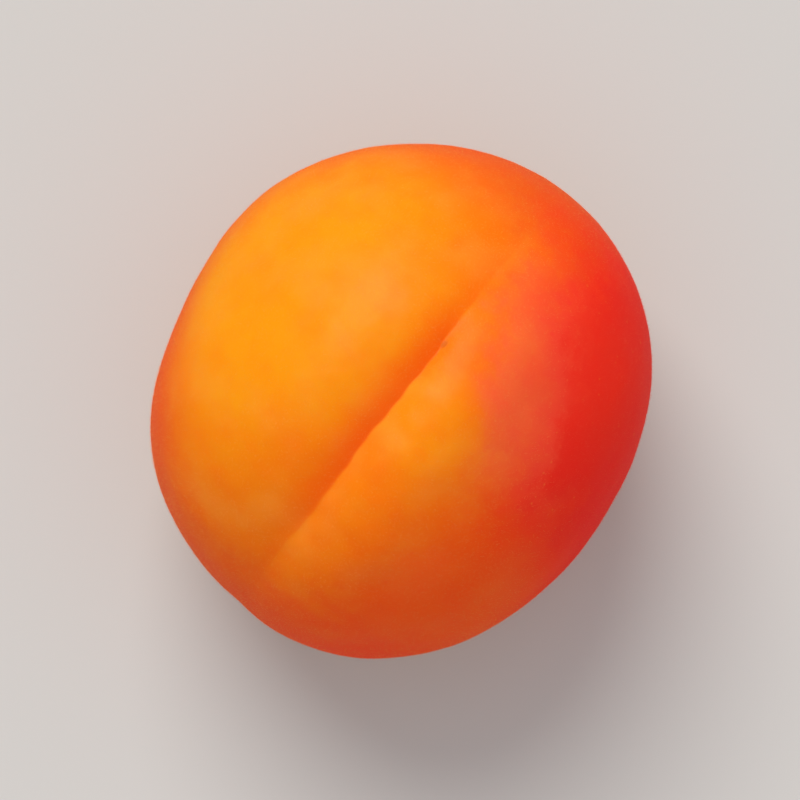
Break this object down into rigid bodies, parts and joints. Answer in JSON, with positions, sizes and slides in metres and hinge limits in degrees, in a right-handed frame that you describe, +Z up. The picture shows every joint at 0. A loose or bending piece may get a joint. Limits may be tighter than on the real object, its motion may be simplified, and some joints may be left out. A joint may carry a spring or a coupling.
{
  "type": "apricot",
  "caption": "Ripe whole apricot standing on its stem end, with a suture groove over the crown, a style scar at the apex and a stem cavity underneath.",
  "frame": {"origin": "on the surface that the fruit stands on, under the middle of its box", "axes": "+Z up from the stem end to the crown, the suture in the YZ plane down the -Y side, the blushed cheek towards +X"},
  "size_m": [0.0492, 0.0546, 0.0506],
  "materials": {
    "skin": "satin fruit skin with fine down, orange-yellow with a red blush on one cheek"
  },
  "bodies": {
    "root": {"apricot": "skin"}
  },
  "joints": []
}
